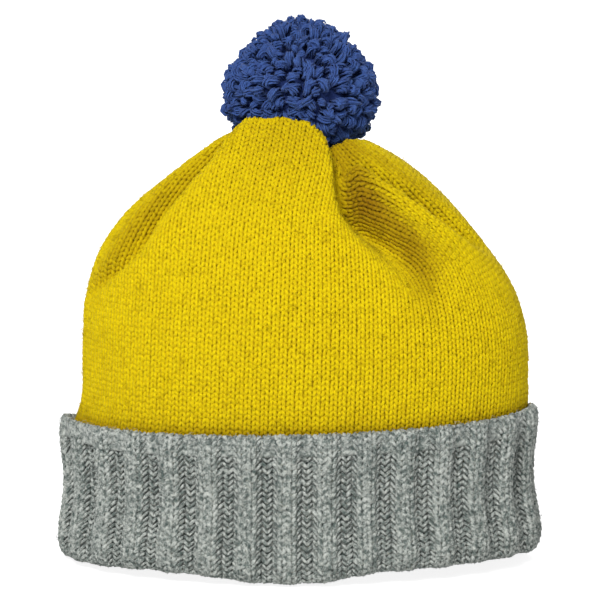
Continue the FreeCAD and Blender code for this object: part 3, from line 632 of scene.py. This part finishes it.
def painted_shade_at(angle, share):
    """How much shade is painted into the wool's colour in the folds: over PAINTED_FOLD_SHADE, strength times
    exp of minus the square of the half widths from the line, and a painted shadow close above the turn-up."""
    total = 0
    for stations in PAINTED_FOLD_SHADE:
        away, left, right, strength = from_line(stations, angle, share)
        total = total + strength * np.exp(-(away / np.where(away < 0, left, right)) ** 2)
    # Painted shadow: darker close above the turn-up's edge, where the band shades the crown.
    edge = BAND_PATH[:, 1].max() * turn_up_height(np.sin(angle), np.cos(angle))
    above = EQUATOR_Z + np.minimum(share, 0) * (EQUATOR_Z - CROWN_Z) - edge
    return np.clip(total + EDGE_SHADE * np.exp(-np.maximum(above, 0) / EDGE_REACH), 0, DEEPEST_SHADE)


# The stitches keep their size on the folded crown, as near as they can: two fields over it, mm of flat
# cloth round and up, are made as rigid as possible, and only the overhung sides of the pleats, and what
# lies over the rim, take in the rest.
turns = np.linspace(0, 2 * np.pi, 361)[:-1]
shares = np.concatenate([np.linspace(-1, 1, 240), np.linspace(1, 1.97, 90)[1:]])
climbs = np.linalg.norm(np.diff(crown_point(turns[:, None], shares[None]), axis=1), axis=-1)
runs = np.cumsum(np.pad(climbs, ((0, 0), (1, 0))), axis=1)
levels = np.linspace(0, 1, 120)
share_at = np.array([np.interp(levels * run[-1], run, shares) for run in runs])
net = crown_point(turns[:, None], share_at)
stiff = np.ones_like(share_at)
for stations, side in zip(PLEATS, OVERHUNG):      # soft for half a reach each way, 0.65 reaches off the valley
    x, _, depth = valley(stations, *np.broadcast_arrays(turns[:, None], share_at))
    stiff -= np.exp(-np.abs((x + 0.65 * side) / 0.55) ** 3) * ease(depth / 3)
stiff = (0.004 + np.clip(stiff, 0, 1) ** 2) * np.interp(share_at, [1.0, 1.15], [1, 0.02])


def ahead(field, wrap=0.0):
    """A field on the next column round, with wrap added past the last one."""
    moved = np.roll(field, -1, axis=0)
    if wrap:
        moved[-1] += wrap
    return moved


def two_steps(field, wrap=0.0):
    """A field's steps round and up in each square's two triangles: from its first corner on and up, and from
    its last one back and down."""
    beside = ahead(field, wrap)
    return ((beside[:, :-1] - field[:, :-1], field[:, 1:] - field[:, :-1]),
            (field[:, 1:] - beside[:, 1:], beside[:, :-1] - beside[:, 1:]))


TRIANGLES = []      # of each: length round, lean of the step up, height, and area times stiffness
for round_step, up_step in two_steps(net):
    length = np.linalg.norm(round_step, axis=-1)
    lean = np.sum(round_step * up_step, axis=-1) / length ** 2
    height = np.linalg.norm(up_step - lean[..., None] * round_step, axis=-1)
    TRIANGLES.append((length, lean, height, length * height / 2 * (stiff + ahead(stiff))[:, :-1] / 2))


def slopes(field, wrap=0.0):
    """A field's slope along and square to the step round, in each triangle."""
    return [(a / length, (b - lean * a) / height)
            for (a, b), (length, lean, height, _) in zip(two_steps(field, wrap), TRIANGLES)]


def pulls(sloping):
    """The transpose of slopes: what slopes, weighed by the triangles, sum to at the corners."""
    total, onward = np.zeros(share_at.shape), np.zeros(share_at.shape)
    for kind, ((along, square), (length, lean, height, weight)) in enumerate(zip(sloping, TRIANGLES)):
        a, b = weight * (along / length - lean * square / height), weight * square / height
        if kind == 0:
            total[:, :-1] -= a + b
            total[:, 1:] += b
            onward[:, :-1] += a
        else:
            total[:, 1:] += a
            onward[:, 1:] -= a + b
            onward[:, :-1] += b
    return total + np.roll(onward, 1, axis=0)


# How strongly each corner's own value pulls on itself, found for every third corner at a time.
own_pull = np.zeros(share_at.shape)
for i in range(3):
    for j in range(3):
        probe = np.zeros(share_at.shape)
        probe[i::3, j::3] = 1
        own_pull[i::3, j::3] = pulls(slopes(probe))[i::3, j::3]


def settle(field, wanted):
    """60 steps of conjugate gradients to the field whose slopes pull as wanted, with its base row kept."""
    left = wanted - pulls(slopes(field))
    left[:, 0] = 0
    way = left / own_pull
    size = np.sum(left * way)
    for _ in range(60):
        reply = pulls(slopes(way))
        reply[:, 0] = 0
        step = size / np.sum(way * reply)
        field, left = field + step * way, left - step * reply
        size, before = np.sum(left * left / own_pull), size
        way = left / own_pull + size / before * way
    return field


# On the right flank the wales run along the pleat there, which drifts towards the front on its way up,
# and the front's lean over towards the hollow: degrees of drift, as the slope of each square's step up.
from_front, share = 180 - np.degrees(turns[:, None]) - 0.5, (share_at[:, 1:] + share_at[:, :-1]) / 2
hollow, flank = (np.interp(share, *np.array(pleat).T[:2]) for pleat in (HOLLOW_PLEAT, FLANK_PLEAT))
before, after = (np.interp(share + step, *np.array(FLANK_PLEAT).T[:2]) for step in (-0.07, 0.07))
flank_drift = (after - before) / 0.14 * np.clip((112 - from_front) / (112 - flank), 0, 1)
front_drift = np.interp(from_front, [-5, 5, 20], [9, 20, 65])
drift = np.radians(np.where(from_front > hollow, flank_drift, front_drift))
drift = drift * np.diff(share_at, axis=1) / turns[1]
on_flank = ease((from_front - hollow) / 3) * ease((115 - from_front) / 15) * ease((share - 0.38) / 0.1)
on_front = ease((from_front + 10) / 15) * ease((hollow - from_front) / 2) * ease((share - 0.5) / 0.15)
led = (0.95 * on_flank + 0.85 * on_front) * ease((1.1 - share) / 0.1)
leads = [np.arctan2(-way * (lean - drift) * length, way * height)
         for way, (length, lean, height, _) in zip((1, -1), TRIANGLES)]

base_steps = np.linalg.norm(ahead(net) - net, axis=-1)
whole = base_steps[:, 0].sum()
flat_round = (np.cumsum(base_steps, axis=0) - base_steps) / base_steps.sum(axis=0) * whole
flat_up = runs[:, -1:] * levels
closer = np.interp(share_at[:, :-1], [0.2, 1], [1, 1.06])       # the wales draw closer together up the dome
seam_pull = pulls(slopes(0 * flat_round, whole))
for _ in range(12):
    rigid_round, rigid_up = [], []
    for (a, b), (c, d), lead in zip(slopes(flat_round, whole), slopes(flat_up), leads):
        turned = np.arctan2(b - c, a + d)
        turned = np.arctan2(*((1 - led) * part(turned) + led * part(lead) for part in (np.sin, np.cos)))
        rigid_round.append((closer * np.cos(turned), closer * np.sin(turned)))
        rigid_up.append((-np.sin(turned), np.cos(turned)))
    flat_round = settle(flat_round, pulls(rigid_round) - seam_pull)
    flat_up = settle(flat_up, pulls(rigid_up))

# The grid of the stitches has two steps to a stitch round and four up. Over the rim the courses just go on.
columns, rows = np.arange(CROWN_WALES * 2) / 2 / CROWN_WALES * whole, np.arange(CROWN_COURSES * 4 + 1) / 4
three_turns = np.concatenate([turns - 2 * np.pi, turns, turns + 2 * np.pi])
turn_at, up_at, place_at = [], [], []
for flat, up, place in zip(flat_round.T, flat_up.T, share_at.T):
    count = np.maximum.accumulate(np.concatenate([flat - whole, flat, flat + whole]))
    turn_at.append(np.interp(columns, count + np.arange(len(count)) * 1e-6, three_turns))
    up_at.append(np.interp(turn_at[-1], turns, up, period=2 * np.pi))
    place_at.append(np.interp(turn_at[-1], turns, place, period=2 * np.pi))
turn_at, up_at, place_at = np.array(turn_at).T, np.array(up_at).T, np.array(place_at).T
climbs = np.linalg.norm(np.diff(crown_point(turn_at, place_at), axis=1), axis=-1)
climbs = np.where(place_at[:, 1:] > 1, climbs, np.maximum(np.diff(up_at, axis=1), 1e-6))
heights = np.cumsum(np.pad(climbs, ((0, 0), (1, 0))), axis=1)
turn_grid = np.array([np.interp(rows * CROWN_COURSE, up, turn) for up, turn in zip(heights, turn_at)])
share_grid = np.array([np.interp(rows * CROWN_COURSE, up, place) for up, place in zip(heights, place_at)])
crown = Cloth(crown_point(turn_grid, share_grid) / 1000, (2, 4))
across = np.roll(crown.points, -1, axis=0) - np.roll(crown.points, 1, axis=0)
wale_widths = np.linalg.norm(across, axis=-1) * 1000

# Both yellow wools take painted shade from their fold maps.
YELLOW_WOOL = wool("yellow_wool", srgb(229, 206, 0), srgb(198, 168, 0), 0.45, 0.02, paints_shade=True)
# Painted shade: a darker copy of the yellow wool, for the cloth behind the stitches, the lacing and the
# drawstring.
YELLOW_SHADE = wool("yellow_wool_painted_shade", srgb(214, 182, 0), srgb(190, 150, 0), 0.45, 0.0, paints_shade=True)

# Where the wales are drawn together the yarn is a little thinner, and in the neck no stitch shows.
wale, course = every_stitch(CROWN_WALES, 1, CROWN_COURSES - 2)
at = (wale * 2 + 1, course * 4 + 2)
narrow = np.clip(wale_widths[at] / CROWN_STITCH, 0, 1.1)
shown = (share_grid[at] < 1.7) & (narrow > 0.12)
tubes = leg_tubes(crown, wale[shown], course[shown], CROWN_LEG, narrow[shown] ** 0.25, CROWN_YARN)
# Painted shade for each leg, from the folds and above the turn-up, goes into its fold map.
shade = np.tile(painted_shade_at(turn_grid[at], share_grid[at])[shown], 2)
yarn_piece("crown_stitches", tubes, YELLOW_WOOL, *CROWN, shade, parts=5)

bases = chance.uniform((0, 1), (CROWN_WALES, 70), (CROWN_FIBRES, 2)).T
at = tuple(bases.astype(int) * np.array(crown.steps)[:, None])
clear = share_grid[at] < 0.92      # of the pompom, which brushes the rim
# Painted shade for each loose fibre, as for the stitches.
shade = painted_shade_at(turn_grid[at], share_grid[at])[clear]
yarn_piece("crown_fuzz", loose_fibres(crown, *bases[:, clear]), YELLOW_WOOL, *CROWN, shade)

# The cloth behind the stitches, cut short under the rim, where its two sides would meet. It is in the darker
# copy of the yellow wool, painted shade, and takes more painted shade from its fold map.
DOME_ROWS = 93
cup_shares = np.concatenate([np.linspace(-1, 0.94, DOME_ROWS), np.linspace(1.3, 2, 28)])
shell_turns = np.linspace(0, 2 * np.pi, CROWN_WALES * 2 + 1)[:-1, None]
shell = Cloth(crown_point(shell_turns, cup_shares[None]) / 1000)
rows = there_and_back(shell.rows_behind(CROWN_BACKING), shell.rows_behind(CROWN_INSIDE))
# Painted shade for the cloth behind the stitches, as for the stitches.
shade = painted_shade_at(shell_turns.T, there_and_back(cup_shares)[:, None])
along = there_and_back(np.arange(len(cup_shares))) * 0.6
ring_shell("crown_cloth", rows, YELLOW_SHADE, *CROWN, CROWN_WALES, along, shade)


# ---- Seams ----------------------------------------------------------------------------------
# Grey yarn links the band's inner layer to the crown, a braid round the inside, and laces the band's
# back seam. Yellow yarn laces the crown's. Only the inside shows them.
SEAM_Z, SEAM_OUT, SEAM_YARN = 56.0, np.array([-3.2, -4.1, -4.3, -3.3]), 0.0006
LINK_ACROSS, LINK_UP = np.array([0.0, 0.4, 0.85, 1.25]), np.array([0.1, 0.55, 0.6, 0.15])
LINK_TAPER = np.array([0.6, 1, 1, 0.6])
JOINING_SEAM = "hat", "joining_seam", "grey_marl_wool"
SEAM_SECTION = ((-0.6, 55.1), (-0.6, 56.9), (-3.2, 56.9), (-3.7, 56.0), (-3.2, 55.1))      # mm out, mm up
# Each lacing stitch goes in and out of the cloth 3.8 mm apart, and slants a little: mm across, in and up.
LACED = ((-1.9, -0.6, -0.5), (-1.3, 0.3, -0.35), (0, 0.6, 0), (1.3, 0.3, 0.35), (1.9, -0.6, 0.5))
CROWN_LACED = (0.0631, 0.1492, 28)      # from and to which height, and how many stitches
BAND_LACED = (8, 4.4, 10)               # how high the first is, how far apart, in mm, and how many
LACING_YARN = 0.0008, 0.0009            # radius on the crown and on the band


def plied(middles, outward, radius, turns, plies=3):
    """Plied yarn along each path [length, ring, 3]: plies half as thick wind round it, radius / 2 from its
    middle, that many times."""
    side, out = square_to(middles, outward)
    spin = turns * np.linspace(0, 1, middles.shape[1]) + np.arange(plies)[:, None] / plies
    spin = 2 * np.pi * spin[..., None]
    wound = middles[:, None] + radius / 2 * (np.cos(spin) * side[:, None] + np.sin(spin) * out[:, None])
    facing = np.broadcast_to(out[:, None], wound.shape).reshape(-1, middles.shape[1], 3)
    return yarn_lengths(wound.reshape(facing.shape), facing, np.full(facing.shape[:2], 0.54 * radius), 6, 1.0)


def read_off(places, stations, rows):
    """Rows of values at places between stations, in straight lines."""
    return np.stack([np.interp(places, stations, column) for column in np.transpose(rows)], -1)


def lacing(middle, inward, radius):
    """A lacing stitch of two plies at each middle, bent as LACED across, in and up."""
    bent = read_off(np.linspace(0, 4, 25), np.arange(5), LACED) / 1000
    inward = np.broadcast_to(inward[:, None], (len(middle), *bent.shape))
    return plied(middle[:, None] + bent * (1, 0, 1) + inward * bent[:, 1:2], inward, radius, 1.5, 2)


links = []
for way_up in (-1, 1):
    across = np.arange(BAND_WALES)[:, None] + LINK_ACROSS
    middles, normal = round_band(across, SEAM_OUT, SEAM_Z + way_up * LINK_UP)
    links.append(yarn_lengths(middles, -normal, np.broadcast_to(SEAM_YARN * LINK_TAPER, middles.shape[:2])))
yarn_piece("joining_chain", np.concatenate(links), GREY_WOOL, *JOINING_SEAM)
rows = np.array([round_band(np.arange(BAND_WALES * 2) / 2, out, z)[0] for out, z in SEAM_SECTION])
ring_shell("joining_cloth", rows, GREY_WOOL, *JOINING_SEAM, BAND_WALES, np.arange(len(rows)) / 2)

line, inward = shell.rows_behind(CROWN_INSIDE)[:DOME_ROWS, 0], -shell.out[0, :DOME_ROWS]
length = length_along(line)
low, high, count = CROWN_LACED
places = np.linspace(*np.interp((low, high), line[:, 2], length), count)
stitches = lacing(read_off(places, length, line), read_off(places, length, inward), LACING_YARN[0])
# The crown's lacing is in the darker copy of the yellow wool, painted shade, with none from the fold map.
plain = np.zeros(len(stitches))
yarn_piece("crown_lacing", stitches, YELLOW_SHADE, "hat", "crown_back_seam", "yellow_wool", plain)
low, apart, count = BAND_LACED
middle, normal = round_band(np.zeros(count), -4.0, low + apart * np.arange(count))
stitches = lacing(middle, -normal, LACING_YARN[1])
yarn_piece("band_lacing", stitches, GREY_WOOL, "hat", "band_back_seam", "grey_marl_wool")


# ---- Drawstring and tie ---------------------------------------------------------------------
# Yellow yarn is woven round the crown's last stitches and drawn tight. Blue yarn is wound round the
# pompom's waist; its two tails go down through the gather, twisted together, into a knot under it.
DRAWSTRING, TIE_YARN, KNOT_YARN = 0.0012, 0.00095, 0.0011      # radius
WEAVES, WEAVE_OUT, WEAVE_UP = 10, (1.3, 0.9), (2.6, 0.5)       # mm beyond the gather and over it, and the swing
KNOT_SIZE, KNOT_DROP = 1.75, 8.6                               # mm, and mm under the pivot
TAILS_LOW, TAILS_TURN, TAILS_APART = 4.8, 13.0, 1.07           # mm under the pivot, to a turn, from the middle
WAIST, WAIST_TURNS, WAIST_STEP = 4.2, 3, 2.1                   # mm, and mm from one turn to the next

turn = np.linspace(0, 2 * np.pi, 241)
away = np.stack([np.sin(turn), np.cos(turn), 0 * turn], -1)
out = GATHER_RADIUS + WEAVE_OUT[0] + WEAVE_OUT[1] * np.cos(WEAVES * turn)[:, None]
up = WEAVE_UP[0] + WEAVE_UP[1] * np.sin(WEAVES * turn)[:, None]
path = GATHER + away * out + (0, 0, 1) * up
# The drawstring is in the darker copy of the yellow wool, painted shade.
plies = plied(path[None] / 1000, away[None], DRAWSTRING, 12)
yarn_piece("gather_yarn", plies, YELLOW_SHADE, "hat", "gather_yarn", "yellow_wool", np.zeros(len(plies)))

# The knot is a trefoil: sin a + 2 sin 2a, cos a - 2 cos 2a, and down by sin 3a.
BLUE_YARN = wool("blue_tie_yarn", srgb(70, 104, 176), srgb(30, 48, 104), 0.5, 0.12)
x, y = np.sin(turn) + 2 * np.sin(2 * turn), np.cos(turn) - 2 * np.cos(2 * turn)
path = PIVOT - (0, 0, KNOT_DROP) + KNOT_SIZE * np.stack([x, y, -1.15 * np.sin(3 * turn)], -1)
plies = plied(path[None] / 1000, 0 * path[None] + (0, 0, 1), KNOT_YARN, 16)
yarn_piece("tails_knot", plies, BLUE_YARN, "tie", "tails_knot", "blue_wool")

axis, side = unit(POMPOM - PIVOT), np.array([1.0, 0, 0])
other = np.cross(axis, side)
run = np.linspace(-TAILS_LOW, np.linalg.norm(POMPOM - PIVOT), 161)[:, None]
turn = 2 * np.pi * (run + TAILS_LOW) / TAILS_TURN + np.array([0, np.pi])[:, None, None]
away = side * np.cos(turn) + other * np.sin(turn)
plies = plied((PIVOT + axis * run + TAILS_APART * away) / 1000, away, TIE_YARN, 10)
yarn_piece("pompom_tails", plies, BLUE_YARN, "pompom", "pompom_tails", "blue_wool")

turn = np.linspace(0, WAIST_TURNS, 321)[:, None]
away = other * np.cos(2 * np.pi * turn) + axis * np.sin(2 * np.pi * turn)
path = POMPOM + side * WAIST_STEP * (turn - WAIST_TURNS / 2) + WAIST * away
plies = plied(path[None] / 1000, away[None], TIE_YARN, 20)
yarn_piece("pompom_binding", plies, BLUE_YARN, "pompom", "pompom_binding", "blue_wool")


# ---- Pompom ---------------------------------------------------------------------------------
# Blue wool: many hundred soft ends of yarn, tied round their waist and clipped into a ball. Each end
# has opened into a lock of crimped strands that curls over at its tip. Its shape is in mm.
POMPOM_REACH, LOCKS, STRANDS = 34.9, 800, 11
TRIMS = (      # not clipped quite round: which way, and how much shorter there
    (0.8, -0.1, -0.59, 3.8), (-0.77, 0.11, 0.63, 3.0), (0.85, 0.09, 0.5, 2.2),
    (0.5, 0.15, 0.85, 1.3), (-0.94, -0.06, -0.33, 3.2),
)
# A lock keeps off the crown as the pompom moves: from SWEPT out it has its room there, less CLEARANCE.
SWEPT, CLEARANCE, MOST_CUT = 32.0, 3.7, 2.6
LOCK_RADIUS, LOCK_ROOT, STRAIGHT, CRIMP = 2.0, 6.0, 0.35, 0.22      # STRAIGHT is the share before it hooks over
STRAND_TAPER = np.array([0.8, 1, 1.1, 1.1, 1.1, 1.0, 0.5])
CORE_RADIUS, CORE_LUMPS = 27.6, 0.5
TUFTS = "pompom", "pompom_tufts", "blue_wool"
BLUE_WOOL = wool("blue_wool", srgb(72, 105, 172), srgb(32, 50, 106), 0.5, 0.12)
# Painted shade: a darker copy of the blue wool, for the packed middle in the curls' shade.
BLUE_SHADE_WOOL = wool("blue_wool_shade", srgb(50, 70, 128), srgb(32, 46, 96), 0.5, 0.0)
curl = np.random.default_rng(11)

# The locks point every way, evenly: each goes on by the golden angle and down by one share of the height.
number = np.arange(LOCKS)
height, azimuth = 1 - 2 * (number + 0.5) / LOCKS, number * np.pi * (3 - np.sqrt(5))
level = np.sqrt(1 - height ** 2)
way = np.stack([level * np.cos(azimuth), level * np.sin(azimuth), height], -1)
way = unit(way + curl.normal(0, 0.035, way.shape))
reach = POMPOM_REACH + curl.normal(0, 1.1, LOCKS)
for *place, less in TRIMS:
    reach -= less * ease((way @ np.array(place) - 0.8) / 0.2)
crown_cup = crown_point(shell_turns, np.linspace(0.7, 2, 56)[None]).reshape(-1, 3)
room_left = np.full(LOCKS, np.inf)
for pose in POSES:
    tips = tipped(POMPOM + way * SWEPT, *pose)
    for block in np.array_split(crown_cup, 40):
        room_left = np.minimum(room_left, np.linalg.norm(tips[:, None] - block[None], axis=-1).min(axis=1))
reach = np.minimum(reach, SWEPT + np.maximum(room_left - CLEARANCE, -MOST_CUT))[:, None, None]
side = unit(np.cross(way, curl.normal(0, 1, way.shape)))
other = np.cross(way, side)[:, None, None]
way, side = way[:, None, None], side[:, None, None]

# Each lock goes straight out and then hooks over sideways, round a circle. Its strands lie round its
# middle by the golden angle, closer together at the tip, and each is crimped by a sine of its own.
t, lock, each = np.linspace(0, 1, 7), (LOCKS, 1, 1), (LOCKS, STRANDS, 1)
strand = np.arange(STRANDS)[None, :, None]
girth = curl.uniform(0.6, 1.1, lock)
hook = curl.uniform(1.4, 2.6, lock) * girth * curl.uniform(0.85, 1.15, each)
bent = np.radians(curl.uniform(80, 220, lock) * curl.uniform(0.85, 1.1, each))
bent = bent * np.clip((t - STRAIGHT) / (1 - STRAIGHT), 0, 1)
out = reach - hook - 0.8 * girth - LOCK_ROOT * np.clip(1 - t / STRAIGHT, 0, 1) + hook * np.sin(bent)
over = hook * (1 - np.cos(bent))
square = side * np.cos(bent)[..., None] - way * np.sin(bent)[..., None]
from_middle = LOCK_RADIUS * girth * np.sqrt((strand + curl.uniform(0, 1, each)) / STRANDS)
from_middle = from_middle * (1.0 - 0.4 * t ** 4)
turn = strand * 2.4 + curl.uniform(0, 6.3, lock) + curl.normal(0, 0.3, each)
turn = turn + curl.uniform(-1.5, 1.5, lock) * t
crimp = CRIMP * np.sin(2 * np.pi * (curl.uniform(0.9, 1.8, each) * t + curl.uniform(0, 1, each)))
middles = (POMPOM + way * out[..., None] + side * over[..., None]
           + square * (from_middle * np.cos(turn) + crimp)[..., None]
           + other * (from_middle * np.sin(turn) - crimp)[..., None]).reshape(-1, len(t), 3)
facing = (0 * square + other).reshape(middles.shape)
thick = (curl.uniform(0.34, 0.5, each) * STRAND_TAPER).reshape(-1, len(t))
curls = yarn_lengths(middles / 1000, facing, thick / 1000, 4, 1.0)
yarn_piece("pompom_curls", curls, BLUE_WOOL, *TUFTS, parts=3)

# Single fibres stand out of the curls, away from the crown.
free = height > -0.1
way, side, other, reach = (a[free, 0] for a in (way, side, other, reach))
bow = curl.uniform(0.6, 1.4, (len(way), 1))
out, over = reach + np.array([-3.0, -0.4, 1.0]) * bow, np.array([0, 1.0, 2.6]) * bow
strays = (POMPOM + way * out[..., None] + side * over[..., None]) / 1000
strays = yarn_lengths(strays, 0 * strays + other, FIBRE * FIBRE_TAPER + 0 * bow, 3, 1.0)
yarn_piece("pompom_strays", strays, BLUE_WOOL, *TUFTS)

# The ends packed tight further in, as one ball under the curls, lumpy by a product of sines, dark with
# painted shade: a darker copy of the blue wool.
spin, lift = np.meshgrid(np.linspace(0, 2 * np.pi, 97)[:-1], np.linspace(0, np.pi, 49)[1:-1], indexing="ij")
ball = np.stack([np.sin(lift) * np.cos(spin), np.sin(lift) * np.sin(spin), np.cos(lift)], -1)
ball = (POMPOM + ball * (CORE_RADIUS + CORE_LUMPS * np.sin(9 * spin) * np.sin(7 * lift))[..., None]) / 1000
grid = np.arange(spin.size).reshape(spin.shape)
on = np.roll(grid, -1, axis=0)
quads = np.stack([grid[:, :-1], grid[:, 1:], on[:, 1:], on[:, :-1]], -1).reshape(-1, 4)
corners = np.concatenate([quads.ravel(), grid[:, 0], grid[::-1, -1]])
i, j = quads // spin.shape[1], quads % spin.shape[1]
i = np.where((i == 0) & (np.arange(4) > 1), len(ball), i)      # the last column closes at the map's far side
disc = np.stack([np.cos(spin[:, 0]), np.sin(spin[:, 0])], -1) * 0.018
spread = np.stack([i / spin.shape[0], j / spin.shape[1] * 0.95], -1).reshape(-1, 2)
maps = (("yarn", ball.reshape(-1, 3)[corners][:, [0, 2]] * 100),
        ("OFBake", np.concatenate([spread, disc + (0.25, 0.98), disc[::-1] + (0.75, 0.98)])))
faces = quads.tolist() + [grid[:, 0].tolist(), grid[::-1, -1].tolist()]
piece("pompom_middle", ball, faces, BLUE_SHADE_WOOL, *TUFTS, maps)
